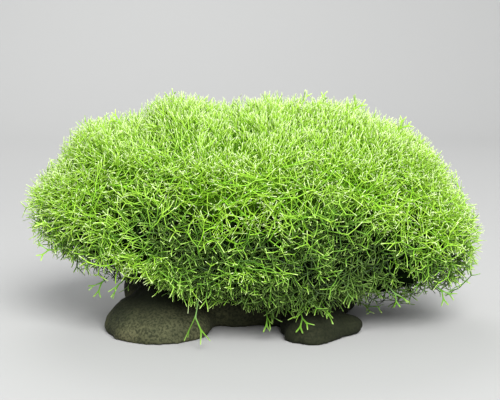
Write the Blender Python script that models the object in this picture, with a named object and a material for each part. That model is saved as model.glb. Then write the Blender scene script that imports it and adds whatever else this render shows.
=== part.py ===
"""Riccia on stone: a wide, low cushion of crystalwort grown over a single river stone.

Metres, +Z up. The origin is on the stone's flat underside. +X runs along the cushion's
longest side, and -Y is the side that faces the viewer.
"""

import math
import random

import bmesh
import bpy
from mathutils import Matrix, Vector, noise
from mathutils.bvhtree import BVHTree

MM = 0.001
UP = Vector((0, 0, 1))
SEAM = 0.45 * MM  # the gap between the plant and the stone, and between plant pieces

# The cushion: how far its tips reach from the heart, seen from the front, as (degrees, mm).
# 0 is the right-hand end, 90 the crown, 180 the left-hand end and 270 the underside.
HEART = Vector((0, 0, 50)) * MM
OUTLINE = (
    (2, 113),
    (7, 105),
    (12, 103),
    (24, 95),
    (34, 88),
    (43, 78),
    (49, 75),
    (56, 69),
    (68, 63),
    (83, 61),
    (97, 57),
    (107, 61),
    (118, 70),
    (126, 75),
    (134, 74),
    (143, 86),
    (150, 96),
    (162, 100),
    (175, 113),
    (184, 107),
    (195, 91),
    (210, 68),
    (238, 46),
    (270, 39),
    (305, 50),
    (322, 72),
    (337, 98),
    (349, 113),
    (355, 111),
)
HALF_DEPTH = 79 * MM
SQUARENESS = 2.2  # 2 joins the outline to the depth as an ellipse; more is boxier

# Mounds and hollows: the point each one faces, its spread in degrees and its swell in mm.
MOUNDS = (
    ((24, -54, 8), 24, 11),  # the fringe that droops in front, right of the middle
    ((-24, -58, 12), 15, 8),  # the fringe over the hollow between the stone's feet
    ((-68, -50, 22), 24, -4),  # tucked in above the left foot
    ((-38, -30, 108), 18, 2),  # the left crown
    ((45, -20, 104), 26, 2),  # the right crown
    ((-47, -64, 60), 11, -9),  # the crease under the upper mass, from left to right
    ((-29, -76, 49), 11, -9),
    ((5, -78, 48), 12, -10),
    ((36, -72, 54), 10, -8),
    ((48, -66, 38), 12, -8),
    ((2, -78, 72), 15, 5),  # the edge of the upper mass, which overhangs the crease
    ((52, -64, 74), 13, 4),
    ((-82, -40, 50), 16, 3),  # the left shoulder
    ((-42, -62, 36), 13, 4),  # the lower mounds
    ((-6, -70, 32), 11, 3),
    ((86, -44, 42), 14, 5),
    ((58, -54, 24), 16, -11),  # the shaded hollow under the right-hand end
    ((70, 52, 40), 26, 5),  # the mounds at the back
    ((-30, 66, 30), 24, 5),
    ((15, 70, 58), 14, -5),
)
LUMP_HEIGHT = 2.6 * MM  # of the smaller, irregular lumps
LUMP_WIDTH = 42 * MM

# The tufts: spikes of growing tips that cover the whole cushion.
TUFT_CORNERS = 640
TUFT_SPACING = (21.9, 17.1, 14.3)  # stretches the spiral so that tufts are of like size
TUFT_HEIGHT = 8.5 * MM
TUFT_LIFT = 0.5  # how strongly the tips on the crown turn up towards the light
TUFT_STRAY = 0.14
TUFT_UNEVEN = 2.2 * MM
TUFT_SEED = 4
VALLEY_MATCH = 0.01 * MM

# The stone, as overlapping rounded lumps: centre and half-sizes in mm, turn in degrees.
STONE_LUMPS = (
    ((-4, 14, 13), (61, 39, 31), 3),  # the body that the cushion sits on
    ((-44, -28, 2), (26, 31, 16), 8),  # the left foot, a rounded boulder in front
    ((-43, -22, 10), (15, 20, 14), 0),  # the knob on top of it
    ((31, -32, 1), (17, 27, 13), -10),  # the right foot, low
    ((39, -30, 3), (16, 17, 7), 6),  # the ledge that runs out of it to the right
)
STONE_VOXEL = 3.2 * MM
STONE_WAVE = 2.4 * MM
STONE_WAVE_LENGTH = 17 * MM
STONE_BALL_LEVELS = 4
STONE_FACES_KEPT = 0.2
FLAT_DOWN = -0.999  # a face whose normal's Z is below this is the resting face

# Single thalli that stand clear of the cushion: flat blades that fork in two, over and over.
BLADE_WIDTH = 0.75 * MM
BLADE_THICKNESS = 0.45 * MM
BLADE_BEND = 0.1
BLADE_TWIST = 0.5
RUN_SPREAD = (0.85, 1.15)
FORK_ANGLE = math.radians(30)
FORK_SPREAD = (0.8, 1.25)
FORK_NECK = 1.4 * MM
FORK_NARROWING = 0.94
BLADE_TIP = 0.5 * MM
ROOT_TAPER = 0.35
ROOT_CLEARANCE = 1.5 * MM
LEAN_SPREAD = (0, 2)
GROWTH_TRIES = 80
TRIES_PER_ROOT = 8

# Each kind: its levels of forks, the stem, the run between forks, its pull (up is above 0),
# and the points in mm that its thalli face from the heart.
TALL_THALLI = (
    2,
    5.2 * MM,
    2.4 * MM,
    0.15,
    (
        (27, -10, 112),
        (37, -6, 111),
        (47, -12, 107),
    ),
)
CROWN_THALLI = (
    2,
    4.2 * MM,
    2.2 * MM,
    0.12,
    (
        (-34, -8, 112),
        (-70, -20, 98),
        (74, -22, 96),
        (6, 20, 108),
        (-46, 34, 96),
        (52, 36, 92),
    ),
)
RIM_THALLI = (
    2,
    4.2 * MM,
    2.4 * MM,
    0.05,
    (
        (-94, -46, 60),
        (-98, -32, 34),
        (104, -36, 40),
        (102, -36, 62),
        (96, 40, 40),
        (-92, 42, 48),
        (20, 82, 44),
    ),
)
LONG_THALLUS = (
    2,
    9.5 * MM,
    5 * MM,
    -0.35,
    ((-28, -64, 20),),
)
HANGING_THALLI = (
    2,
    4.5 * MM,
    2.7 * MM,
    -0.2,
    (
        (11, -60, 12),
        (22, -62, 12),
        (38, -60, 12),
        (70, -44, 20),
        (-62, -54, 24),
        (84, -34, 24),
        (-80, -44, 28),
    ),
)


def clear_scene():
    for obj in list(bpy.data.objects):
        bpy.data.objects.remove(obj, do_unlink=True)


def plain_material(name, colour, roughness):
    """A Principled material of one colour."""
    material = bpy.data.materials.new(name)
    material.use_nodes = True
    shader = material.node_tree.nodes["Principled BSDF"]
    shader.inputs["Base Color"].default_value = (*colour, 1)
    shader.inputs["Roughness"].default_value = roughness
    shader.inputs["Metallic"].default_value = 0
    return material


def add_object(name, mesh, material=None):
    """Puts a mesh into the scene as a named object, with that material alone."""
    obj = bpy.data.objects.new(name, mesh)
    bpy.context.scene.collection.objects.link(obj)
    mesh.materials.clear()
    if material:
        mesh.materials.append(material)
    return obj


def mesh_from(build, name):
    """A mesh from a bmesh, with its faces turned outwards. The bmesh is freed."""
    bmesh.ops.recalc_face_normals(build, faces=build.faces)
    mesh = bpy.data.meshes.new(name)
    build.to_mesh(mesh)
    build.free()
    return mesh


def settle(obj):
    """Replaces the object's mesh with the one its modifiers make."""
    bpy.context.view_layer.update()
    graph = bpy.context.evaluated_depsgraph_get()
    settled = bpy.data.meshes.new_from_object(obj.evaluated_get(graph))
    obj.modifiers.clear()
    obj.data = settled


def outline_reach(angle):
    """The reach of the outline at an angle in radians: a smooth curve through OUTLINE."""
    degrees = math.degrees(angle) % 360
    count = len(OUTLINE)
    after = next((i for i in range(count) if OUTLINE[i][0] > degrees), 0)
    around = []
    for step in (-2, -1, 0, 1):
        place = OUTLINE[(after + step) % count]
        turn = (place[0] - degrees + 180) % 360 - 180
        around.append((turn, place[1] * MM))
    (a0, r0), (a1, r1), (a2, r2), (a3, r3) = around
    t = -a1 / (a2 - a1)
    slope1 = (r2 - r0) / (a2 - a0) * (a2 - a1)
    slope2 = (r3 - r1) / (a3 - a1) * (a2 - a1)
    return (
        (2 * t**3 - 3 * t**2 + 1) * r1
        + (t**3 - 2 * t**2 + t) * slope1
        + (3 * t**2 - 2 * t**3) * r2
        + (t**3 - t**2) * slope2
    )


def reach(direction):
    """How far the cushion's tips lie from its heart in a unit direction."""
    planar = math.hypot(direction.x, direction.z)
    across = planar / outline_reach(math.atan2(direction.z, direction.x))
    deep = abs(direction.y) / HALF_DEPTH
    radius = (across**SQUARENESS + deep**SQUARENESS) ** (-1 / SQUARENESS)
    for point, spread, swell in MOUNDS:
        aim = (Vector(point) * MM - HEART).normalized()
        off = aim.angle(direction) / math.radians(spread)
        radius += swell * MM * math.exp(-(off**2))
    return radius + LUMP_HEIGHT * noise.noise(direction * radius / LUMP_WIDTH)


def tuft_directions():
    """Unit directions spread evenly over the cushion along a spiral."""
    golden = math.pi * (3 - math.sqrt(5))
    directions = []
    for i in range(TUFT_CORNERS):
        z = 1 - (2 * i + 1) / TUFT_CORNERS
        ring = math.sqrt(1 - z * z)
        even = Vector((ring * math.cos(golden * i), ring * math.sin(golden * i), z))
        directions.append((even * Vector(TUFT_SPACING)).normalized())
    return directions


def grow_stone(material):
    """One weathered river stone with a flat resting face and two feet in front."""
    build = bmesh.new()
    for centre, half, turn in STONE_LUMPS:
        place = Matrix.Translation(Vector(centre) * MM)
        place @= Matrix.Rotation(math.radians(turn), 4, "Z")
        place @= Matrix.Diagonal((*(Vector(half) * MM), 1))
        bmesh.ops.create_icosphere(
            build, subdivisions=STONE_BALL_LEVELS, radius=1, matrix=place
        )
    obj = add_object("stone", mesh_from(build, "stone"))
    remesh = obj.modifiers.new("one_body", "REMESH")
    remesh.mode = "VOXEL"
    remesh.voxel_size = STONE_VOXEL
    waves = bpy.data.textures.new("stone_waves", "CLOUDS")
    waves.noise_scale = STONE_WAVE_LENGTH
    displace = obj.modifiers.new("weathering", "DISPLACE")
    displace.texture = waves
    displace.texture_coords = "LOCAL"
    displace.strength = 2 * STONE_WAVE
    displace.mid_level = 0.5
    decimate = obj.modifiers.new("facets", "DECIMATE")
    decimate.ratio = STONE_FACES_KEPT
    settle(obj)

    build = bmesh.new()
    build.from_mesh(obj.data)
    everything = build.verts[:] + build.edges[:] + build.faces[:]
    cut = bmesh.ops.bisect_plane(
        build, geom=everything, plane_co=(0, 0, 0), plane_no=UP, clear_inner=True
    )
    rim = [item for item in cut["geom_cut"] if isinstance(item, bmesh.types.BMEdge)]
    bmesh.ops.holes_fill(build, edges=rim)
    obj.data = mesh_from(build, "stone")
    obj.data.materials.clear()
    obj.data.materials.append(material)
    for face in obj.data.polygons:
        face.use_smooth = face.normal.z > FLAT_DOWN
    return obj


def swollen(mesh, name, by):
    """A copy of a closed mesh, grown outwards."""
    build = bmesh.new()
    build.from_mesh(mesh)
    build.normal_update()
    shifts = [(vert, vert.normal * by) for vert in build.verts]
    for vert, shift in shifts:
        vert.co += shift
    return mesh_from(build, name)


def keep_largest_island(mesh):
    """Drops the loose crumbs that a cut can leave."""
    build = bmesh.new()
    build.from_mesh(mesh)
    left = set(build.verts)
    islands = []
    while left:
        front = [left.pop()]
        island = list(front)
        while front:
            vert = front.pop()
            for edge in vert.link_edges:
                other = edge.other_vert(vert)
                if other in left:
                    left.remove(other)
                    front.append(other)
                    island.append(other)
        islands.append(island)
    islands.sort(key=len)
    crumbs = [vert for island in islands[:-1] for vert in island]
    bmesh.ops.delete(build, geom=crumbs, context="VERTS")
    build.to_mesh(mesh)
    build.free()


def grow_cushion(stone, material):
    """The cushion: a lumpy dome covered in leaning tufts, grown tight round the stone."""
    rng = random.Random(TUFT_SEED)
    build = bmesh.new()
    for direction in tuft_directions():
        build.verts.new(direction)
    bmesh.ops.convex_hull(build, input=build.verts)
    for vert in build.verts:
        valley = reach(vert.co) - TUFT_HEIGHT
        vert.co = HEART + vert.co * valley
    build.normal_update()
    for face in build.faces[:]:
        root = face.calc_center_median()
        outward = (root - HEART).normalized()
        stray = Vector([rng.gauss(0, TUFT_STRAY) for _ in range(3)])
        lift = TUFT_LIFT * (1 + outward.z) / 2
        lean = (outward + UP * lift + stray).normalized()
        tip = root + lean * TUFT_HEIGHT - HEART
        aim = tip.normalized()
        tip = HEART + aim * (reach(aim) - rng.random() * TUFT_UNEVEN)
        for made in bmesh.ops.poke(build, faces=[face])["verts"]:
            made.co = tip
    obj = add_object("riccia_cushion", mesh_from(build, "riccia_cushion"))

    cutter = add_object("stone_room", swollen(stone.data, "stone_room", SEAM))
    cutter.hide_render = True
    cutter.display_type = "WIRE"
    room = obj.modifiers.new("room_for_stone", "BOOLEAN")
    room.operation = "DIFFERENCE"
    room.solver = "EXACT"
    room.object = cutter
    settle(obj)
    bpy.data.objects.remove(cutter, do_unlink=True)
    keep_largest_island(obj.data)
    obj.data.materials.clear()
    obj.data.materials.append(material)
    return obj


def ring(build, centre, side, face_up, width, thickness=BLADE_THICKNESS):
    """The four corners of a blade: left, top, right and bottom."""
    across = side * width / 2
    above = face_up * thickness / 2
    corners = (centre - across, centre + above, centre + across, centre - above)
    return [build.verts.new(corner) for corner in corners]


def join_rings(build, lower, upper):
    for i in range(4):
        j = (i + 1) % 4
        build.faces.new((lower[i], lower[j], upper[j], upper[i]))


def grow_blade(build, rng, base, centre, heading, face_up, levels, runs, pull, width):
    """Grows one run of blade from a ring of corners, then forks it or ends it in a tip."""
    bend = Vector([rng.gauss(0, BLADE_BEND) for _ in range(3)])
    heading = (heading + UP * pull + bend).normalized()
    side = heading.cross(face_up).normalized()
    face_up = side.cross(heading).normalized()
    centre = centre + heading * runs[0] * rng.uniform(*RUN_SPREAD)
    end = ring(build, centre, side, face_up, width)
    join_rings(build, base, end)
    if not levels:
        tip = build.verts.new(centre + heading * BLADE_TIP)
        for i in range(4):
            build.faces.new((end[i], end[(i + 1) % 4], tip))
        return
    left, top, right, bottom = end
    narrow = width * FORK_NARROWING
    crotch = build.verts.new(centre + heading * FORK_NECK)
    arms = []
    for sign in (-1, 1):
        angle = FORK_ANGLE * rng.uniform(*FORK_SPREAD)
        arm = (heading * math.cos(angle) + side * sign * math.sin(angle)).normalized()
        arm_side = arm.cross(face_up).normalized()
        middle = crotch.co + arm_side * sign * narrow / 2
        outer = build.verts.new(middle + arm_side * sign * narrow / 2)
        above = build.verts.new(middle + face_up * BLADE_THICKNESS / 2)
        below = build.verts.new(middle - face_up * BLADE_THICKNESS / 2)
        arms.append((arm, middle, outer, above, below))
    (arm_a, mid_a, out_a, top_a, low_a), (arm_b, mid_b, out_b, top_b, low_b) = arms
    build.faces.new((left, top, top_a, out_a))
    build.faces.new((bottom, left, out_a, low_a))
    build.faces.new((top, right, out_b, top_b))
    build.faces.new((right, bottom, low_b, out_b))
    build.faces.new((top, crotch, top_a))
    build.faces.new((top, top_b, crotch))
    build.faces.new((bottom, low_a, crotch))
    build.faces.new((bottom, crotch, low_b))
    ring_a = (out_a, top_a, crotch, low_a)
    ring_b = (crotch, top_b, out_b, low_b)
    for base, middle, arm in ((ring_a, mid_a, arm_a), (ring_b, mid_b, arm_b)):
        twist = Matrix.Rotation(rng.gauss(0, BLADE_TWIST), 3, arm)
        grow_blade(
            build, rng, base, middle, arm, twist @ face_up, levels - 1, runs[1:], pull, narrow
        )


def thallus_mesh(rng, root, heading, levels, stem, run, pull, name):
    """A closed, forking blade that grows from a root point."""
    build = bmesh.new()
    stray = Vector([rng.gauss(0, 1) for _ in range(3)])
    face_up = stray.cross(heading).normalized()
    side = heading.cross(face_up).normalized()
    thin = BLADE_THICKNESS * ROOT_TAPER
    base = ring(build, root, side, face_up, BLADE_WIDTH * ROOT_TAPER, thin)
    build.faces.new(reversed(base))
    runs = [stem] + [run] * levels
    grow_blade(build, rng, base, root, heading, face_up, levels, runs, pull, BLADE_WIDTH)
    bmesh.ops.triangulate(build, faces=build.faces)
    return mesh_from(build, name)


def tree_of(mesh):
    return BVHTree.FromPolygons(
        [vert.co for vert in mesh.vertices], [face.vertices for face in mesh.polygons]
    )


def crosses_itself(mesh):
    """Whether two faces that share no corner run through each other."""
    tree = tree_of(mesh)
    corners = [set(face.vertices) for face in mesh.polygons]
    return any(not corners[a] & corners[b] for a, b in tree.overlap(tree))


def is_valley(point):
    """Whether a point of the cushion is a corner between tufts, not a tip or a cut edge."""
    spoke = point - HEART
    depth = reach(spoke.normalized()) - spoke.length
    return abs(depth - TUFT_HEIGHT) < VALLEY_MATCH


def grow_thalli(kind, recipe, stone, cushion, taken, material):
    """Sets the thalli of one kind on the cushion, clear of everything that is there."""
    levels, stem, run, pull, aims = recipe
    valleys = [vert.co for vert in cushion.data.vertices if is_valley(vert.co)]
    solids = [tree_of(stone.data), tree_of(cushion.data)]
    for number, aim in enumerate(aims, start=1):
        name = f"{kind}_{number}"
        aim = (Vector(aim) * MM - HEART).normalized()
        ranked = sorted(valleys, key=lambda co: -(co - HEART).normalized().dot(aim))
        for attempt in range(GROWTH_TRIES):
            rng = random.Random(f"{name} {attempt}")
            valley = ranked[attempt // TRIES_PER_ROOT]
            outward = (valley - HEART).normalized()
            root = valley + outward * ROOT_CLEARANCE
            lean = (outward + UP * pull * rng.uniform(*LEAN_SPREAD)).normalized()
            mesh = thallus_mesh(rng, root, lean, levels, stem, run, pull, name)
            hull = tree_of(swollen(mesh, "clearance", SEAM))
            low = min(vert.co.z for vert in mesh.vertices)
            blocked = any(hull.overlap(solid) for solid in solids + taken)
            if low > SEAM and not blocked and not crosses_itself(mesh):
                add_object(name, mesh, material)
                taken.append(tree_of(mesh))
                break
        else:
            raise RuntimeError(f"no free place for {name}")


def main():
    clear_scene()
    stone_material = plain_material("river_stone", (0.105, 0.108, 0.06), 0.8)
    cushion_material = plain_material("riccia_mass", (0.16, 0.34, 0.05), 0.6)
    thallus_material = plain_material("riccia_tips", (0.37, 0.6, 0.16), 0.5)
    stone = grow_stone(stone_material)
    cushion = grow_cushion(stone, cushion_material)
    taken = []
    for kind, recipe in (
        ("tall_thallus", TALL_THALLI),
        ("crown_thallus", CROWN_THALLI),
        ("rim_thallus", RIM_THALLI),
        ("long_thallus", LONG_THALLUS),
        ("hanging_thallus", HANGING_THALLI),
    ):
        grow_thalli(kind, recipe, stone, cushion, taken, thallus_material)


main()
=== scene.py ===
"""Riccia on stone: a wide, low cushion of crystalwort grown over a river stone.

Metres, +Z up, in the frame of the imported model. The cushion is made of thousands of
thalli: thin flat blades that fork in two every few millimetres and end in pale tips.
"""

import math
from types import SimpleNamespace

import bpy
import numpy as np
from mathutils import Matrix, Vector, noise


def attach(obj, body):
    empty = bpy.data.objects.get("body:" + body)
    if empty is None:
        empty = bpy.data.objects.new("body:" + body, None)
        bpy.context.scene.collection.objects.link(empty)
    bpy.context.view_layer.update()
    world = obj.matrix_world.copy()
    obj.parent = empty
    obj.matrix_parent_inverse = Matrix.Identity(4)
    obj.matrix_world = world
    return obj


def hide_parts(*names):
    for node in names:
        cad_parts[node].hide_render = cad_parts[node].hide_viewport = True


MM = 0.001
UP = np.array((0.0, 0.0, 1.0))

# The cushion's form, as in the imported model.

# Its reach from its heart, seen from the front, as (degrees, mm).
HEART = np.array((0, 0, 50)) * MM
OUTLINE = (
    (2, 113),
    (7, 105),
    (12, 103),
    (24, 95),
    (34, 88),
    (43, 78),
    (49, 75),
    (56, 69),
    (68, 63),
    (83, 61),
    (97, 57),
    (107, 61),
    (118, 70),
    (126, 75),
    (134, 74),
    (143, 86),
    (150, 96),
    (162, 100),
    (175, 113),
    (184, 107),
    (195, 91),
    (210, 68),
    (238, 46),
    (270, 39),
    (305, 50),
    (322, 72),
    (337, 98),
    (349, 113),
    (355, 111),
)
HALF_DEPTH = 79 * MM
SQUARENESS = 2.2  # 2 would make its sections from front to back ellipses, more is fuller

# Mounds and hollows: the point each one faces, its spread in degrees and its swell in mm.
MOUNDS = (
    ((24, -54, 8), 24, 11),  # the fringe that droops in front, right of the middle
    ((-24, -58, 12), 15, 8),  # the fringe over the hollow between the stone's feet
    ((-68, -50, 22), 24, -4),  # tucked in above the left foot
    ((-38, -30, 108), 18, 2),  # the left crown
    ((45, -20, 104), 26, 2),  # the right crown
    ((-47, -64, 60), 11, -9),  # the crease under the upper mass, from left to right
    ((-29, -76, 49), 11, -9),
    ((5, -78, 48), 12, -10),
    ((36, -72, 54), 10, -8),
    ((48, -66, 38), 12, -8),
    ((2, -78, 72), 15, 5),  # the edge of the upper mass, which overhangs the crease
    ((52, -64, 74), 13, 4),
    ((-82, -40, 50), 16, 3),  # the left shoulder
    ((-42, -62, 36), 13, 4),  # the lower mounds
    ((-6, -70, 32), 11, 3),
    ((86, -44, 42), 14, 5),
    ((58, -54, 24), 16, -11),  # the shaded hollow under the right-hand end
    ((70, 52, 40), 26, 5),  # the mounds at the back
    ((-30, 66, 30), 24, 5),
    ((15, 70, 58), 14, -5),
)
LUMP_HEIGHT = 2.6 * MM
LUMP_WIDTH = 42 * MM

# The stone's lumps, to keep the plant out of it: centre and half-sizes in mm, turn in degrees.
STONE_LUMPS = (
    ((-4, 14, 13), (61, 39, 31), 3),
    ((-44, -28, 2), (26, 31, 16), 8),
    ((-43, -22, 10), (15, 20, 14), 0),
    ((31, -32, 1), (17, 27, 13), -10),
    ((39, -30, 3), (16, 17, 7), 6),
)
STONE_MARGIN = 2.0 * MM  # between the stone and where a thallus starts or should end
STONE_GAP = 0.6 * MM  # between the stone and all of a thallus
FLOOR_GAP = 0.5 * MM
LOWEST_PLACE = 3 * MM

# How the thalli are spread over the cushion.
THALLI = 16000  # places for one, of which the density leaves some empty
SCATTER = 0.35  # how far a place is moved out of line, as a share of the spacing
SPACING = np.array((21.9, 17.1, 14.3))  # stretches the spiral so that they stand evenly
STRAY_SHARE = 0.12  # of them are strays: long thalli that lie on the surface
STRAY_ROOT = 0.5  # their root's depth and their run of blade, as shares of the usual
STRAY_RUN = 1.15
TUFT_WIDTH = 22 * MM  # thalli nearer than this lean the same way
LEAN_SHIFTS = (11.3, 37.9, 71.6)  # places in the noise that give the lean along X, Y and Z
SIDEWAYS = np.array((1.2, 1, 0.7))  # how much of a random turn sideways is kept, by axis
FLAT_SCATTER = 0.5  # how far the flat of a blade is turned at random
CROWN_ROOT_DEPTH = 16 * MM
FRONT_ROOT_DEPTH = 11 * MM
SHALLOWER = (0.7, 0.45, 0.25)  # shares of its depth, tried where a root is in the stone
RIPPLE_HEIGHT = 3 * MM  # finer hollows between the tufts, inwards only
RIPPLE_WIDTH = 15 * MM
DEPTHS = (-3.4, 7)  # the least and the most, in mm, that a thallus ends below the surface
SHIFTS = (-5 * MM, 6 * MM)  # how far a thallus is moved along its root to end at the surface
LEAST_SIZE = 0.6  # one that would still stick out is made smaller, down to this
ATTEMPTS = 3  # at a thallus that would run into the stone or the floor
SHORTENING = 0.75  # from one attempt to the next

# The pieces, and how many steps each run of blade has there.
REGIONS = (
    ("riccia_crown_left", 1),
    ("riccia_crown_right", 1),
    ("riccia_front_left", 2),
    ("riccia_front_right", 2),
    ("riccia_back_left", 1),
    ("riccia_back_right", 1),
    ("riccia_fringe", 2),
    ("riccia_fringe_back", 1),
)
CROWN_FACES = 0.72  # the Z of the surface's normal above which a place is in the crown
FRINGE_FACES = -0.25  # and below which it is in the fringe

# One thallus. Its width depends on where it stands.
PEAK_WIDTH = 0.48 * MM
CROWN_WIDTH = 0.42 * MM
FRONT_WIDTH = 0.56 * MM
FRINGE_WIDTH = 0.64 * MM
WIDTHS = (0.85, 1.15)  # the least and most, as shares of those
# A blade's other measures, as shares of its width.
THICKNESS = 0.45
ROOT_WIDTH = 0.6
FORK_WIDTH = 1.2
TIP_WIDTH = 0.92
TIP_LENGTH = 0.5
ARM_WIDTH = 0.96
FORK_NECK = 1.0 * MM  # from where a blade widens to the crotch of its fork
RUNS = (0.8, 1.4)  # the least and most that a thallus's runs of blade are of the usual
FORKED_RUN = (0.75, 1.25)  # and that one run that ends in a fork is of its thallus's
LAST_RUN = (0.5, 1.1)  # and one that ends in a tip
EARLY_END = 0.05  # the chance, for each fork before it, that an arm doesn't fork again
SPREADS = (0.6, 1.3)  # the least and most that an arm turns off, of the usual
BEND = 0.2  # how much a run of blade bends at random, for each of its steps
TWIST = 0.55  # how far an arm turns about its own length at random, in radians
CURL = 0.45  # how strongly the arms of a fork curve back to where the blade was heading
CURL_BY_SPREAD = (1.9, 1.6)  # times this: the first, less the second per radian of spread
COLOUR_GAP = 0.02  # along the ramp, between a blade's last section and its fork or tip

# Painted light and shade, where the cushion is lighter or darker than its height alone makes it:
# the point that each spot faces, its spread in degrees and its change of tone.
LIGHT_AND_SHADE_SPOTS = (
    ((-40, -70, 56), 8, -0.38),  # the shade below the upper mass
    ((-45, -68, 48), 8, -0.3),
    ((-24, -74, 46), 8, -0.32),
    ((4, -76, 48), 9, -0.54),
    ((29, -75, 57), 7, -0.2),
    ((42, -70, 57), 9, -0.24),
    ((50, -60, 34), 11, -0.52),
    ((8, -62, 18), 14, -0.56),  # the shaded fringe in the middle
    ((-54, -61, 35), 11, 0.74),  # the lobe at the lower left, which catches the light
    ((0, -72, 35), 9, 0.64),  # the lower mound in the middle
    ((0, -79, 68), 13, 0.72),  # the edge of the upper mass, in the middle and on the right
    ((64, -57, 72), 13, 0.42),
    ((84, -45, 48), 12, 0.4),  # the right-hand end
    ((-84, -44, 60), 13, 0.3),  # the left-hand end, and the fringe below it
    ((-86, -40, 28), 14, 0.26),
    ((-26, -75, 68), 8, 0.66),  # the upper mass, left of the middle
    ((-15, -76, 58), 6, 0.4),
    ((6, -77, 58), 6, 0.36),
)
LOWEST_TONE = 0.18
# What height adds to it, as painted shade low down and painted light higher up, a little less at
# the very top: from and to in mm, and the change of tone.
TONE_BY_HEIGHT = ((14, 36, 0.45), (38, 62, 0.46), (82, 96, -0.14))
# Painted shade deep in: depth below the surface takes 1 off the tone for each SUNK_DEPTH, within
# limits.
# High up it takes less off: a share, and the heights from and to which that grows.
SUNK_DEPTH = 13 * MM
SUNK_LIMITS = (-3 * MM, 8 * MM)
SUNK_LESS = (0.6, 60 * MM, 85 * MM)
# Painted light on the mounds and painted shade in the hollows: a mound adds 1 for each
# MOUND_HEIGHT, and a hollow takes off HOLLOW_TONE times the square of its share of HOLLOW_DEPTH,
# both within limits.
SWELL_LIMITS = (-14 * MM, 5 * MM)
MOUND_HEIGHT = 20 * MM
HOLLOW_DEPTH = 9 * MM
HOLLOW_TONE = 0.2
TONE_ACROSS = 0.015  # how much the tone changes from the middle of a blade to its edge
CHANCE_TONE = 0.15  # how much it differs from one thallus to the next
STRAY_TONE = 0.12  # how much lighter the strays are
# On the sides, one thallus in six catches the light and the others are a little darker.
CATCHES_LIGHT = 1  # in standard deviations
LIGHT_CAUGHT = 0.3
LIGHT_MISSED = -0.04

# The UV map of the thalli keeps clear of its edges by a scale and a shift along each axis.
UV_ALONG = (0.98, 0.01)
UV_TONE = (0.95, 0.025)

# The old growth inside.
HEART_DEPTH = 17 * MM
HEART_RINGS, HEART_STEPS = 60, 96
HEART_RADIUS = 70 * MM  # roughly, to give its ridges their width
RIDGE_HEIGHT = 1.5 * MM
RIDGE_WIDTH = 6 * MM

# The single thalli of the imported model.
STEM_PLACE = 0.3  # where their colours start along the ramp
# Their tone by height: painted shade low down and painted light high up.
SINGLE_TONE = (0.22, 0.55)  # at their lowest, and how much more at their highest
SINGLE_HEIGHTS = (10 * MM, 70 * MM)

# The stone's finer surface.
VOXEL = 1.5 * MM
RELAX = (0.5, 6)  # how strongly and how often it is smoothed
STONE_SWELLS = ((0.9 * MM, 11 * MM), (0.35 * MM, 3.5 * MM))  # (height, width)


def unit(vectors):
    return vectors / np.linalg.norm(vectors, axis=-1, keepdims=True)


def step_up(values, low, high):
    """Rises smoothly from 0 at low to 1 at high."""
    t = np.clip((values - low) / (high - low), 0, 1)
    return t * t * (3 - 2 * t)


# The form of the cushion and the stone.


def outline_reach(angles):
    """The reach of the outline at angles in radians: a smooth curve through OUTLINE."""
    degrees = np.degrees(angles) % 360
    stations = np.array([place[0] for place in OUTLINE], float)
    radii = np.array([place[1] for place in OUTLINE]) * MM
    count = len(OUTLINE)
    after = np.searchsorted(stations, degrees, side="right") % count
    turns, reaches = [], []
    for step in (-2, -1, 0, 1):
        index = (after + step) % count
        turns.append((stations[index] - degrees + 180) % 360 - 180)
        reaches.append(radii[index])
    a0, a1, a2, a3 = turns
    r0, r1, r2, r3 = reaches
    t = -a1 / (a2 - a1)
    slope1 = (r2 - r0) / (a2 - a0) * (a2 - a1)
    slope2 = (r3 - r1) / (a3 - a1) * (a2 - a1)
    return (
        (2 * t**3 - 3 * t**2 + 1) * r1
        + (t**3 - 2 * t**2 + t) * slope1
        + (3 * t**2 - 2 * t**3) * r2
        + (t**3 - t**2) * slope2
    )


def noise_at(points):
    return np.array([noise.noise(Vector(point)) for point in points])


def lean_at(points):
    """A smooth random vector at each point."""
    return np.stack([noise_at(points + shift) for shift in LEAN_SHIFTS], 1)


def sum_of(spots, directions):
    """The sum of smooth spots in unit directions, each a point, a spread and a height."""
    total = np.zeros(len(directions))
    for point, spread, height in spots:
        aim = unit(np.array(point) * MM - HEART)
        off = np.arccos(np.clip(directions @ aim, -1, 1)) / math.radians(spread)
        total += height * np.exp(-(off**2))
    return total


def relief(directions):
    """How far the mounds swell in unit directions. It is below 0 in the hollows."""
    return sum_of(MOUNDS, directions) * MM


def reach(directions):
    """How far the cushion's tips lie from its heart in unit directions."""
    x, y, z = directions.T
    across = np.hypot(x, z) / outline_reach(np.arctan2(z, x))
    deep = np.abs(y) / HALF_DEPTH
    radius = (across**SQUARENESS + deep**SQUARENESS) ** (-1 / SQUARENESS) + relief(directions)
    return radius + LUMP_HEIGHT * noise_at(directions * radius[:, None] / LUMP_WIDTH)


def surface(directions, reaches):
    return HEART + directions * reaches[:, None]


def normals_of(directions):
    """Outward normals of the cushion in unit directions."""
    askew = np.array((0.31, 0.17, 0.93))  # any direction, so long as no thallus faces it
    first = unit(np.cross(directions, askew))
    second = np.cross(directions, first)
    step = 0.05
    corners = []
    for shift in (first, second, -first, -second):
        turned = unit(directions + step * shift)
        corners.append(surface(turned, reach(turned)))
    return unit(np.cross(corners[0] - corners[2], corners[1] - corners[3]))


def spiral(count, rng):
    """Unit directions spread evenly over the cushion, each a little out of line."""
    golden = math.pi * (3 - math.sqrt(5))
    index = np.arange(count)
    z = 1 - (2 * index + 1) / count
    across = np.sqrt(1 - z * z)
    even = np.stack([across * np.cos(golden * index), across * np.sin(golden * index), z], 1)
    even += rng.normal(0, SCATTER * math.sqrt(4 * math.pi / count), even.shape)
    return unit(even * SPACING)


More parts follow.
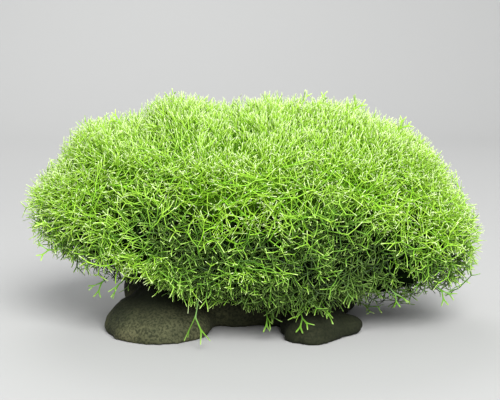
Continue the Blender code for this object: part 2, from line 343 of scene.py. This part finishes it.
def in_stone(points, margin):
    """Whether each point lies inside one of the stone's lumps, grown by a margin."""
    inside = np.zeros(len(points), bool)
    for centre, half, turn in STONE_LUMPS:
        angle = math.radians(turn)
        x, y, z = (points - np.array(centre) * MM).T
        along = x * math.cos(angle) + y * math.sin(angle)
        aside = y * math.cos(angle) - x * math.sin(angle)
        a, b, c = np.array(half) * MM + margin
        inside |= (along / a) ** 2 + (aside / b) ** 2 + (z / c) ** 2 < 1
    return inside


def light_at(points):
    """The tone of the plant at each point, its painted light and shade: light on top, on the
    mounds and at the spots, painted shade low down, deep in and in hollows.
    """
    spoke = points - HEART
    directions = unit(spoke)
    height = points[:, 2]
    tone = np.full(len(points), LOWEST_TONE)
    for low, high, change in TONE_BY_HEIGHT:
        tone += change * step_up(height, low * MM, high * MM)
    tone += sum_of(LIGHT_AND_SHADE_SPOTS, directions)
    sunk = (reach(directions) - np.linalg.norm(spoke, axis=1)).clip(*SUNK_LIMITS)
    less, low, high = SUNK_LESS
    tone -= sunk / SUNK_DEPTH * (1 - less * step_up(height, low, high))
    swell = relief(directions).clip(*SWELL_LIMITS)
    tone += swell.clip(0) / MOUND_HEIGHT
    return tone - HOLLOW_TONE * (swell.clip(max=0) / HOLLOW_DEPTH) ** 2


# Growing thalli.


class Growth:
    """Collects the corners and faces of many thalli at once."""

    def __init__(self):
        self.points = []
        self.along = []
        self.aside = []
        self.owner = []
        self.faces = []
        self.count = 0

    def add(self, points, along, aside, owner):
        """Adds a corner to each blade: -1 and 1 are the edges of the blade and 0 its middle."""
        index = self.count + np.arange(len(points))
        self.points.append(points)
        self.along.append(along)
        self.aside.append(np.full(len(points), aside))
        self.owner.append(owner)
        self.count += len(points)
        return index

    def face(self, first, second, third):
        self.faces.append(np.stack([first, second, third], 1))

    def quad(self, first, second, third, fourth):
        self.face(first, second, third)
        self.face(first, third, fourth)

    def ring(self, centre, side, flat, width, along, owner):
        """A three-cornered section of a blade: its left edge, its ridge and its right edge."""
        half = side * (width / 2)[:, None]
        left = self.add(centre - half, along, -1.0, owner)
        ridge = self.add(centre + flat * (width * THICKNESS)[:, None], along, 0.0, owner)
        right = self.add(centre + half, along, 1.0, owner)
        return left, ridge, right

    def join(self, lower, upper):
        for i in range(3):
            j = (i + 1) % 3
            self.quad(lower[i], lower[j], upper[j], upper[i])

    def result(self):
        """(points, along, aside, owner, faces)"""
        lists = (self.points, self.along, self.aside, self.owner, self.faces)
        return tuple(np.concatenate(values) for values in lists)


def grow(rng, plan, steps):
    """Grows one thallus from each root of a plan, each run of blade in a number of steps.

    Returns (points, along, aside, owner, faces). The owner of a point is its thallus.
    """
    growth = Growth()
    heading, width, centre = plan.heading, plan.width, plan.root
    curl = np.zeros_like(heading)
    owner = np.arange(len(centre))
    side = unit(np.cross(heading, plan.flat))
    flat = np.cross(side, heading)
    base = growth.ring(centre, side, flat, width * ROOT_WIDTH, np.zeros(len(centre)), owner)
    growth.face(base[0], base[2], base[1])
    for level in range(plan.forks.max() + 1):
        forks = plan.forks[owner]
        along = (level + 1) / (forks + 1)
        bend = plan.pull[owner] + curl + rng.normal(0, BEND * steps, heading.shape)
        ends = (level == forks) | (rng.random(len(owner)) < EARLY_END * level)
        least, most = (np.where(ends, last, forked) for last, forked in zip(LAST_RUN, FORKED_RUN))
        length = plan.run[owner] * rng.uniform(least, most)
        for step in range(1, steps + 1):
            heading = unit(heading + bend / steps)
            side = unit(np.cross(heading, flat))
            flat = np.cross(side, heading)
            centre = centre + heading * (length / steps)[:, None]
            across = width
            if step == steps:
                across = np.where(ends, width * TIP_WIDTH, width * FORK_WIDTH)
            left_to_go = (1 - step / steps) / (forks + 1)
            here = along - COLOUR_GAP - left_to_go
            end = growth.ring(centre, side, flat, across, here, owner)
            growth.join(base, end)
            base = end
        nose = heading[ends] * (TIP_LENGTH * width[ends])[:, None]
        tip = growth.add(centre[ends] + nose, np.ones(ends.sum()), 0.0, owner[ends])
        for i in range(3):
            growth.face(end[i][ends], end[(i + 1) % 3][ends], tip)
        on = ~ends
        if not on.any():
            break
        width = width * ARM_WIDTH
        owner, heading, side, flat, centre, width, along = (
            values[on] for values in (owner, heading, side, flat, centre, width, along)
        )
        left, ridge, right = (corner[on] for corner in end)
        crotch_at = centre + heading * FORK_NECK
        crotch = growth.add(crotch_at, along, 0.0, owner)
        spread = plan.spread[owner]
        arms = []
        for sign in (-1.0, 1.0):
            angle = (spread * rng.uniform(*SPREADS, len(owner)))[:, None]
            arm = unit(heading * np.cos(angle) + side * sign * np.sin(angle))
            arm_side = unit(np.cross(arm, flat))
            middle = crotch_at + arm_side * sign * (width / 2)[:, None]
            far = crotch_at + arm_side * sign * width[:, None]
            outer = growth.add(far, along, sign, owner)
            above = growth.add(middle + flat * (width * THICKNESS)[:, None], along, 0.0, owner)
            arms.append((arm, middle, outer, above))
        (arm_a, mid_a, out_a, top_a), (arm_b, mid_b, out_b, top_b) = arms
        growth.quad(left, ridge, top_a, out_a)
        growth.quad(ridge, right, out_b, top_b)
        growth.face(ridge, crotch, top_a)
        growth.face(ridge, top_b, crotch)
        growth.face(right, left, crotch)
        growth.face(left, out_a, crotch)
        growth.face(right, crotch, out_b)
        twist = rng.normal(0, TWIST, (2 * len(owner), 1))
        most_curl, less_curl = CURL_BY_SPREAD
        back = CURL * (most_curl - less_curl * spread)[:, None]
        curl = np.concatenate([heading * back, heading * back])
        heading = np.concatenate([arm_a, arm_b])
        flat = np.concatenate([flat, flat])
        flat = unit(flat - heading * np.sum(flat * heading, 1, keepdims=True))
        flat = flat * np.cos(twist) + np.cross(heading, flat) * np.sin(twist)
        base = (
            np.concatenate([out_a, crotch]),
            np.concatenate([top_a, top_b]),
            np.concatenate([crotch, out_b]),
        )
        centre = np.concatenate([mid_a, mid_b])
        owner = np.concatenate([owner, owner])
        width = np.concatenate([width, width])
    return growth.result()


class Zones:
    """How far each place belongs to each of a few zones of the cushion, from 0 to 1.

    By the way that the surface faces, it is the top, the crest or the peak, which are ever
    smaller, the underside or one of the ends. By height it is low, or the brow of the upper
    mass, and by the mounds it is in a hollow.
    """

    def __init__(self, place, normal, directions):
        up, height = normal[:, 2], place[:, 2]
        self.top = step_up(up, -0.2, 0.8)
        self.crest = step_up(up, 0.35, 0.95)
        self.peak = step_up(up, 0.88, 0.98)
        self.under = step_up(-up, 0.1, 0.7)
        self.ends = step_up(np.abs(normal[:, 0]), 0.6, 0.95)
        self.low = step_up(-height, -60 * MM, -40 * MM)
        self.brow = step_up(height, 50 * MM, 64 * MM) * (1 - self.crest)
        self.hollow = step_up(-relief(directions), 3 * MM, 9 * MM)

    def value(self, base, **changes):
        """A value for each place: the base, and what each zone named adds to it."""
        for zone, change in changes.items():
            base = base + change * getattr(self, zone)
        return base

    def scale(self, vectors, base, **changes):
        """The vectors, each times the value of its place."""
        return vectors * self.value(base, **changes)[:, None]


def region_of(normal, place):
    """The piece each thallus belongs to, as its number in REGIONS."""
    left, front = place[:, 0] < 0, place[:, 1] < 0
    region = np.where(left, 2, 3) + np.where(front, 0, 2)
    region = np.where(normal[:, 2] > CROWN_FACES, np.where(left, 0, 1), region)
    return np.where(normal[:, 2] < FRINGE_FACES, np.where(front, 6, 7), region)


def plan_thalli(rng):
    """Where each thallus starts and how it grows, and the piece that it belongs to or -1."""
    directions = spiral(THALLI, rng)
    place = surface(directions, reach(directions))
    normal = normals_of(directions)
    zones = Zones(place, normal, directions)
    density = zones.value(0.28, top=0.55, under=-0.1, peak=-0.06, hollow=0.14)
    keep = rng.random(THALLI) < density
    keep &= (place[:, 2] > LOWEST_PLACE) & ~in_stone(place, STONE_MARGIN)
    stray = rng.random(THALLI) < STRAY_SHARE

    root_depth = zones.value(FRONT_ROOT_DEPTH, top=CROWN_ROOT_DEPTH - FRONT_ROOT_DEPTH)
    inward = normal * (root_depth * np.where(stray, STRAY_ROOT, 1))[:, None]
    root = place - inward
    for share in SHALLOWER:
        buried = in_stone(root, STONE_MARGIN)[:, None]
        root = np.where(buried, place - inward * share, root)
    keep &= ~in_stone(root, STONE_MARGIN)

    # It heads outwards, to a random side, the way its tuft leans, and up, or at the underside
    # down and to the outside.
    outside = normal * (1 - UP) * 0.3
    tangent = unit(np.cross(normal, rng.normal(size=normal.shape))) * SIDEWAYS
    lean = lean_at(place / TUFT_WIDTH)
    lean -= normal * np.sum(lean * normal, 1, keepdims=True)
    flatter = np.where(stray, zones.value(0.5, crest=0.5), 1)
    heading = zones.scale(normal, 0.35, crest=0.45) * flatter[:, None]
    heading += zones.scale(tangent, 0.65, crest=-0.3) + zones.scale(lean, 1.1, crest=-0.3)
    heading += zones.scale(UP, 0.1, top=0.2, under=-0.35) + zones.scale(outside, 0, under=1)
    heading = unit(heading)
    flat = zones.scale(normal, 1, top=-1) + rng.normal(0, FLAT_SCATTER, normal.shape)

    width = zones.value(
        FRONT_WIDTH,
        top=CROWN_WIDTH - FRONT_WIDTH,
        peak=PEAK_WIDTH - CROWN_WIDTH,
        low=FRINGE_WIDTH - FRONT_WIDTH,
    )
    width *= rng.uniform(*WIDTHS, THALLI)
    forks = np.where(rng.random(THALLI) < zones.top, 2, 3)
    run = zones.value(5.8, top=0.8) * MM * rng.uniform(*RUNS, THALLI)
    run *= np.where(stray, STRAY_RUN, 1)
    spread = np.radians(zones.value(50, top=-18))
    pull = zones.scale(UP, 0.02, top=0.05, under=-0.1)
    pull += zones.scale(normal, 0.03, crest=0.06, brow=-0.2)

    ripple = RIPPLE_HEIGHT * np.abs(noise_at(place / RIPPLE_WIDTH)) * zones.value(1, top=-0.6)
    depth = rng.normal(zones.value(1.2, top=-0.4), zones.value(1.7, peak=0.7))
    depth = depth.clip(*DEPTHS) * MM
    depth = np.where(stray, -zones.value(2, crest=2.5) * MM, depth)
    uneven = zones.value(ripple + depth, ends=-1.2 * MM)

    chance = rng.normal(0, 1, THALLI)
    # A little painted light where a place faces up.
    tone = zones.value(0, top=0.05) + STRAY_TONE * stray + CHANCE_TONE * chance
    caught = np.where(chance > CATCHES_LIGHT, LIGHT_CAUGHT, LIGHT_MISSED)
    tone += zones.value(1, top=-1) * caught
    return SimpleNamespace(
        region=np.where(keep, region_of(normal, place), -1),
        normal=normal,
        root=root,
        heading=heading,
        flat=flat,
        width=width,
        forks=forks,
        run=run,
        spread=spread,
        pull=pull,
        uneven=uneven,
        tone=tone,
    )


def fit(points, owner, plan):
    """Moves each thallus along its normal, so that it ends as far below the surface as planned.

    One that would have to move too far is made smaller too. Returns its points and its size.
    """
    spoke = points - HEART
    excess = np.linalg.norm(spoke, axis=1) - reach(unit(spoke))
    most = np.full(len(plan.root), -1.0)
    np.maximum.at(most, owner, excess)
    wanted = most + plan.uneven
    deeper = wanted.clip(*SHIFTS)
    grown = points - plan.root[owner]
    rise = np.zeros(len(plan.root))
    np.maximum.at(rise, owner, np.sum(grown * plan.normal[owner], 1))
    size = 1 - (wanted - deeper).clip(0) / rise
    start = plan.root - plan.normal * deeper[:, None]
    return start[owner] + grown * size[owner][:, None], size


def compact(points, faces, *values):
    """Drops the points that no face uses."""
    used = np.unique(faces)
    new = np.zeros(len(points), np.int64)
    new[used] = np.arange(len(used))
    return (points[used], new[faces], *(value[used] for value in values))


def grow_region(rng, plan, todo, steps):
    """Grows the thalli numbered in todo, and those that don't fit again, a little shorter.

    Returns their mesh, as (points, faces, along, tone), and how many grew and didn't.
    """
    parts, count, made = [], 0, 0
    for attempt in range(ATTEMPTS):
        if not todo.size:
            break
        here = SimpleNamespace(**{name: values[todo] for name, values in vars(plan).items()})
        here.run *= SHORTENING**attempt
        points, along, aside, owner, faces = grow(rng, here, steps)
        points, size = fit(points, owner, here)
        low = np.full(len(todo), 1.0)
        np.minimum.at(low, owner, points[:, 2])
        blocked = np.zeros(len(todo), bool)
        np.logical_or.at(blocked, owner, in_stone(points, STONE_GAP))
        good = (low > FLOOR_GAP) & ~blocked & (size > LEAST_SIZE)
        faces = faces[good[owner[faces[:, 0]]]]
        tone = (light_at(points) + here.tone[owner]).clip(0, 1) + TONE_ACROSS * aside
        points, faces, along, tone = compact(points, faces, along, tone)
        parts.append((points, faces + count, along, tone))
        count += len(points)
        made += good.sum()
        todo = todo[~good]
    return tuple(np.concatenate(values) for values in zip(*parts)), made, len(todo)


# Materials.

# Painted shade and light: the thallus's colours from the root to the tip, for those in deep
# painted shade first and in full painted light last.
THALLUS_SHADE_TO_LIGHT_COLOURS = (
    (
        (0.0, (0.006, 0.01, 0.004)),
        (0.4, (0.02, 0.043, 0.006)),
        (0.84, (0.057, 0.117, 0.012)),
        (0.98, (0.11, 0.17, 0.036)),
    ),
    (
        (0.0, (0.018, 0.06, 0.004)),
        (0.4, (0.055, 0.155, 0.01)),
        (0.84, (0.125, 0.295, 0.018)),
        (0.98, (0.28, 0.45, 0.085)),
    ),
    (
        (0.0, (0.05, 0.14, 0.006)),
        (0.4, (0.15, 0.345, 0.014)),
        (0.84, (0.29, 0.525, 0.045)),
        (0.98, (0.50, 0.67, 0.21)),
    ),
    (
        (0.0, (0.12, 0.34, 0.008)),
        (0.4, (0.205, 0.465, 0.015)),
        (0.86, (0.28, 0.475, 0.037)),
        (0.97, (0.56, 0.645, 0.37)),
    ),
)

# The old growth's painted shade, near black, and its painted light, green, and the heights above
# which it is lit and below which it is in shade.
HEART_PAINTED_SHADE = ((0.35, (0.0018, 0.0036, 0.0018)), (0.65, (0.005, 0.012, 0.0025)))
HEART_PAINTED_LIGHT = ((0.35, (0.06, 0.15, 0.008)), (0.65, (0.13, 0.30, 0.016)))
HEART_PAINTED_LIGHT_ABOVE, HEART_PAINTED_SHADE_BELOW = 84 * MM, 57 * MM

STONE_BODY = (
    (0.3, (0.034, 0.038, 0.019)),
    (0.5, (0.06, 0.062, 0.03)),
    (0.7, (0.095, 0.093, 0.047)),
)
STONE_SPECKLES = ((0.3, (0.011, 0.014, 0.006)), (0.7, (0.028, 0.03, 0.015)))
SPECKLE_EDGE = ((0.42, (0, 0, 0)), (0.56, (1, 1, 1)))
# The colour of the painted shade: the shadow that the plant casts on the stone.
STONE_PAINTED_SHADE = (0.006, 0.008, 0.003, 1)
# Where the stone is free of painted shade: from here to there it falls to the share that is left.
UNSHADED_BY_HEIGHT = (8 * MM, 17 * MM, 0.05)  # dark below the plant
UNSHADED_ACROSS = (-20 * MM, 10 * MM, 0.12)  # and darker on the right than on the left foot

# Noise textures: scale, detail and roughness.
HEART_MOTTLE = (220, 3, 0.5)
STONE_PATCHES = (45, 3, 0.55)
STONE_GRAIN = (850, 5, 0.7)


def new_material(name, roughness):
    material = bpy.data.materials.new(name)
    material.use_nodes = True
    shader = material.node_tree.nodes["Principled BSDF"]
    shader.inputs["Roughness"].default_value = roughness
    return material, material.node_tree, shader


def ramp(tree, factor, stops):
    """A colour ramp over a factor socket, from (position, colour) stops."""
    node = tree.nodes.new("ShaderNodeValToRGB")
    elements = node.color_ramp.elements
    while len(elements) < len(stops):
        elements.new(0.5)
    for element, (position, colour) in zip(elements, stops):
        element.position = position
        element.color = (*colour, 1)
    tree.links.new(factor, node.inputs["Fac"])
    return node.outputs["Color"]


def mix(tree, factor, first, second):
    node = tree.nodes.new("ShaderNodeMix")
    node.data_type = "RGBA"
    for socket, value in ((node.inputs["Factor"], factor), (node.inputs["A"], first)):
        tree.links.new(value, socket)
    tree.links.new(second, node.inputs["B"])
    return node.outputs["Result"]


def fade(tree, value, low, high, end):
    """Falls from 1 at low to the end value at high."""
    node = tree.nodes.new("ShaderNodeMapRange")
    node.inputs["From Min"].default_value = low
    node.inputs["From Max"].default_value = high
    node.inputs["To Min"].default_value = 1
    node.inputs["To Max"].default_value = end
    tree.links.new(value, node.inputs["Value"])
    return node.outputs["Result"]


def texture(tree, place, scale, detail, rough):
    node = tree.nodes.new("ShaderNodeTexNoise")
    node.inputs["Scale"].default_value = scale
    node.inputs["Detail"].default_value = detail
    node.inputs["Roughness"].default_value = rough
    tree.links.new(place, node.inputs["Vector"])
    return node.outputs["Fac"]


def axes_of(tree, vector):
    node = tree.nodes.new("ShaderNodeSeparateXYZ")
    tree.links.new(vector, node.inputs["Vector"])
    return node.outputs


def thallus_material():
    """Green blades: darker at the root and pale at the tips, from painted shade to painted
    sunlight by tone.
    """
    material, tree, shader = new_material("riccia_thallus", 0.5)
    shader.inputs["Specular IOR Level"].default_value = 0.3
    uv = tree.nodes.new("ShaderNodeUVMap")
    uv.uv_map = "OFBake"
    axes = axes_of(tree, uv.outputs["UV"])
    ramps = [ramp(tree, axes["X"], stops) for stops in THALLUS_SHADE_TO_LIGHT_COLOURS]
    colour = ramps[0]
    gaps = len(ramps) - 1
    for number, brighter in enumerate(ramps[1:]):
        share = fade(tree, axes["Y"], (number + 1) / gaps, number / gaps, 0)
        colour = mix(tree, share, colour, brighter)
    tree.links.new(colour, shader.inputs["Base Color"])
    return material


def heart_material():
    """The mass of old growth that shows between the thalli, in painted shade low down and painted
    light high up.
    """
    material, tree, shader = new_material("riccia_old_growth_and_shade", 1)
    shader.inputs["Specular IOR Level"].default_value = 0
    place = tree.nodes.new("ShaderNodeTexCoord").outputs["Object"]
    mottle = texture(tree, place, *HEART_MOTTLE)
    deep = ramp(tree, mottle, HEART_PAINTED_SHADE)
    lit = ramp(tree, mottle, HEART_PAINTED_LIGHT)
    # Painted light above and painted shade below, by height.
    height = axes_of(tree, place)["Z"]
    share = fade(tree, height, HEART_PAINTED_LIGHT_ABOVE, HEART_PAINTED_SHADE_BELOW, 0)
    tree.links.new(mix(tree, share, deep, lit), shader.inputs["Base Color"])
    return material


def stone_material():
    """Weathered river stone: olive brown-grey, finely grained, darker by painted shade below the
    plant and on the right.
    """
    material, tree, shader = new_material("river_stone", 0.9)
    shader.inputs["Specular IOR Level"].default_value = 0.15
    place = tree.nodes.new("ShaderNodeTexCoord").outputs["Object"]
    patches = texture(tree, place, *STONE_PATCHES)
    grain = texture(tree, place, *STONE_GRAIN)
    body = ramp(tree, patches, STONE_BODY)
    dark = ramp(tree, patches, STONE_SPECKLES)
    colour = mix(tree, ramp(tree, grain, SPECKLE_EDGE), dark, body)
    axes = axes_of(tree, place)
    # Painted shade: the stone is darkened below the plant, and more on the right foot.
    unshaded = tree.nodes.new("ShaderNodeMath")
    unshaded.operation = "MULTIPLY"
    tree.links.new(fade(tree, axes["Z"], *UNSHADED_BY_HEIGHT), unshaded.inputs[0])
    tree.links.new(fade(tree, axes["X"], *UNSHADED_ACROSS), unshaded.inputs[1])
    painted_shade = tree.nodes.new("ShaderNodeRGB")
    painted_shade.outputs["Color"].default_value = STONE_PAINTED_SHADE
    colour = mix(tree, unshaded.outputs["Value"], painted_shade.outputs["Color"], colour)
    tree.links.new(colour, shader.inputs["Base Color"])
    bump = tree.nodes.new("ShaderNodeBump")
    bump.inputs["Strength"].default_value = 0.5
    bump.inputs["Distance"].default_value = 0.3 * MM
    tree.links.new(grain, bump.inputs["Height"])
    tree.links.new(bump.outputs["Normal"], shader.inputs["Normal"])
    return material


# Pieces.


def link_new(name, mesh):
    obj = bpy.data.objects.new(name, mesh)
    bpy.context.scene.collection.objects.link(obj)
    return obj


def smooth(mesh):
    mesh.polygons.foreach_set("use_smooth", np.ones(len(mesh.polygons), bool))


def vectors_of(mesh, attribute):
    """The vertices' places ("co") or normals ("normal")."""
    values = np.empty(3 * len(mesh.vertices), np.float32)
    mesh.vertices.foreach_get(attribute, values)
    return values.reshape(-1, 3)


def piece_from(name, points, faces, along, tone, material):
    """A mesh object whose UV map holds (place along the thallus, tone) at each corner."""
    mesh = bpy.data.meshes.new(name)
    mesh.vertices.add(len(points))
    mesh.vertices.foreach_set("co", points.astype(np.float32).ravel())
    mesh.loops.add(faces.size)
    mesh.loops.foreach_set("vertex_index", faces.astype(np.int32).ravel())
    mesh.polygons.add(len(faces))
    mesh.polygons.foreach_set("loop_start", np.arange(0, faces.size, 3, dtype=np.int32))
    smooth(mesh)
    layer = mesh.uv_layers.new(name="OFBake")
    axes = ((along, UV_ALONG), (tone, UV_TONE))
    uv = np.stack([values[faces.ravel()] * scale + shift for values, (scale, shift) in axes], 1)
    layer.data.foreach_set("uv", uv.astype(np.float32).ravel())
    mesh.update()
    mesh.validate()
    mesh.materials.append(material)
    return link_new(name, mesh)


def make_stone(node, material):
    """The stone again, with a finer weathered surface."""
    obj = link_new("river_stone", node.data.copy())
    remesh = obj.modifiers.new("fine", "REMESH")
    remesh.mode = "VOXEL"
    remesh.voxel_size = VOXEL
    relax = obj.modifiers.new("relax", "SMOOTH")
    relax.factor, relax.iterations = RELAX
    bpy.context.view_layer.update()
    graph = bpy.context.evaluated_depsgraph_get()
    mesh = bpy.data.meshes.new_from_object(obj.evaluated_get(graph))
    obj.data = mesh
    obj.modifiers.clear()
    points = vectors_of(mesh, "co")
    swell = sum(height * noise_at(points / width) for height, width in STONE_SWELLS)
    points = points + vectors_of(mesh, "normal") * swell[:, None]
    points[:, 2] = np.maximum(points[:, 2], 0)
    mesh.vertices.foreach_set("co", points.astype(np.float32).ravel())
    mesh.update()
    smooth(mesh)
    mesh.materials.clear()
    mesh.materials.append(material)
    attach(obj, "root")
    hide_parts("stone")


def make_heart(material):
    """The old growth inside: the cushion's own form, a little smaller."""
    mesh = bpy.data.meshes.new("old_growth")
    obj = link_new("old_growth", mesh)
    steps = HEART_STEPS
    polar = np.linspace(0, math.pi, HEART_RINGS + 1)[1:-1]
    turn = np.linspace(0, 2 * math.pi, steps, endpoint=False)
    tilt, spin = np.meshgrid(polar, turn, indexing="ij")
    around = np.stack([np.sin(tilt) * np.cos(spin), np.sin(tilt) * np.sin(spin), np.cos(tilt)], 2)
    directions = np.concatenate([[[0, 0, 1]], around.reshape(-1, 3), [[0, 0, -1]]])
    ridges = RIDGE_HEIGHT * noise_at(directions * HEART_RADIUS / RIDGE_WIDTH)
    points = surface(directions, reach(directions) - HEART_DEPTH + ridges)
    faces = []
    last = len(directions) - 1
    for step in range(steps):
        after = (step + 1) % steps
        faces.append((0, 1 + step, 1 + after))
        faces.append((last, last - steps + after, last - steps + step))
        for ring in range(HEART_RINGS - 2):
            here = 1 + ring * steps
            faces.append((here + step, here + steps + step, here + steps + after, here + after))
    mesh.from_pydata(points.tolist(), [], faces)
    smooth(mesh)
    mesh.materials.append(material)
    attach(obj, "root")
    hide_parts("riccia_cushion")


def make_thalli(material):
    """The thousands of thalli that the cushion consists of, in eight pieces."""
    rng = np.random.default_rng(11)
    plan = plan_thalli(rng)
    total = 0
    for number, (name, steps) in enumerate(REGIONS):
        todo = np.flatnonzero(plan.region == number)
        (points, faces, along, tone), made, left = grow_region(rng, plan, todo, steps)
        obj = piece_from(name, points, faces, along, tone, material)
        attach(obj, "root")
        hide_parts("riccia_cushion")
        total += len(faces)
        print(f"{name}: {made} thalli, {left} left out, {len(faces)} faces, {total} so far")


def make_single_thalli(nodes, material):
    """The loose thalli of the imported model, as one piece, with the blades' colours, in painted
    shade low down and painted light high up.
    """
    rng = np.random.default_rng(5)
    names = [name for name in nodes if "thallus" in name]
    points, faces, along, tones = [], [], [], []
    count = 0
    for name in names:
        mesh = nodes[name].data
        mesh.calc_loop_triangles()
        corners = vectors_of(mesh, "co").astype(float)
        triangles = np.empty(3 * len(mesh.loop_triangles), np.int32)
        mesh.loop_triangles.foreach_get("vertices", triangles)
        root = corners[np.linalg.norm(corners - HEART, axis=1).argmin()]
        away = np.linalg.norm(corners - root, axis=1)
        points.append(corners)
        faces.append(triangles.reshape(-1, 3) + count)
        along.append(STEM_PLACE + (1 - STEM_PLACE) * away / away.max())
        lowest, rise = SINGLE_TONE
        tone = lowest + rise * step_up(corners[:, 2].mean(), *SINGLE_HEIGHTS)
        tones.append(tone + rng.uniform(-TONE_ACROSS, TONE_ACROSS, len(corners)))
        count += len(corners)
    values = (np.concatenate(parts) for parts in (points, faces, along, tones))
    obj = piece_from("riccia_single_thalli", *values, material)
    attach(obj, "root")
    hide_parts(*names)


# The studio, in metres.

FLOOR_HALF_WIDTH = 6
FLOOR_BACK = 1.2  # where the floor starts to rise into the backdrop
FLOOR_BEND = 0.8
FLOOR_BEND_STEPS = 16
BACKDROP_TOP = 4
FLOOR_COLOUR = (0.34, 0.34, 0.335, 1)
SKY_COLOUR = (0.93, 0.96, 1, 1)
SKY_STRENGTH = 0.55
LIGHTS_AIM = Vector((0, 0, 0.05))
# Name, place, diameter and watts.
LIGHTS = (
    ("overhead", (0.45, -1.82, 1.55), 1.5, 119),
    ("front_fill", (0.3, -2.2, 0.9), 1.6, 26),
    ("back_fill", (-0.3, 1.5, 1.4), 1.2, 20),
)

# The camera, at the photograph's viewing angle.
CAMERA_TARGET = Vector((0, 0, 60)) * MM
CAMERA_DISTANCE = 600 * MM
CAMERA_ELEVATION = math.radians(7)
CAMERA_LENS = 86.4
CAMERA_SENSOR = 36
CAMERA_NEAR = 0.01


def make_floor():
    """A pale floor that bends up into a backdrop."""
    mesh = bpy.data.meshes.new("floor")
    profile = [(-FLOOR_HALF_WIDTH, 0)]
    for step in range(FLOOR_BEND_STEPS + 1):
        turn = math.pi / 2 * step / FLOOR_BEND_STEPS
        forth, rise = math.sin(turn), 1 - math.cos(turn)
        profile.append((FLOOR_BACK + FLOOR_BEND * forth, FLOOR_BEND * rise))
    profile.append((FLOOR_BACK + FLOOR_BEND, BACKDROP_TOP))
    corners = [(side * FLOOR_HALF_WIDTH, y, z) for y, z in profile for side in (-1, 1)]
    faces = [(2 * i, 2 * i + 1, 2 * i + 3, 2 * i + 2) for i in range(len(profile) - 1)]
    mesh.from_pydata(corners, [], faces)
    smooth(mesh)
    floor = link_new("floor", mesh)
    material, _, shader = new_material("floor", 0.9)
    shader.inputs["Base Color"].default_value = FLOOR_COLOUR
    mesh.materials.append(material)


def make_lights():
    """A soft sky and three round softboxes."""
    world = bpy.data.worlds.new("studio")
    world.use_nodes = True
    background = world.node_tree.nodes["Background"]
    background.inputs["Color"].default_value = SKY_COLOUR
    background.inputs["Strength"].default_value = SKY_STRENGTH
    bpy.context.scene.world = world
    for name, place, size, power in LIGHTS:
        light = bpy.data.lights.new(name, "AREA")
        light.shape = "DISK"
        light.size = size
        light.energy = power
        obj = link_new(name, light)
        obj.location = place
        obj.rotation_euler = (LIGHTS_AIM - Vector(place)).to_track_quat("-Z", "Y").to_euler()


def make_camera():
    camera = bpy.data.cameras.new("camera")
    camera.lens = CAMERA_LENS
    camera.sensor_width = CAMERA_SENSOR
    camera.clip_start = CAMERA_NEAR
    eye = link_new("camera", camera)
    away = Vector((0, -math.cos(CAMERA_ELEVATION), math.sin(CAMERA_ELEVATION)))
    eye.location = CAMERA_TARGET + away * CAMERA_DISTANCE
    eye.rotation_euler = (math.pi / 2 - CAMERA_ELEVATION, 0, 0)
    bpy.context.scene.camera = eye


def make_studio():
    bpy.context.scene.view_settings.view_transform = "Standard"
    make_floor()
    make_lights()
    make_camera()


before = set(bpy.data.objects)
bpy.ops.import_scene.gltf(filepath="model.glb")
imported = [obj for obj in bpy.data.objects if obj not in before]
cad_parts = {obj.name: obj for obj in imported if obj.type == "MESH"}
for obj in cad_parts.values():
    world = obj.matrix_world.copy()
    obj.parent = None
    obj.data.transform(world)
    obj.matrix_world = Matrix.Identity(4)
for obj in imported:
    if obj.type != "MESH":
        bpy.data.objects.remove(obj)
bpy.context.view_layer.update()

thallus = thallus_material()
make_stone(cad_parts["stone"], stone_material())
make_heart(heart_material())
make_thalli(thallus)
make_single_thalli(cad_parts, thallus)
make_studio()
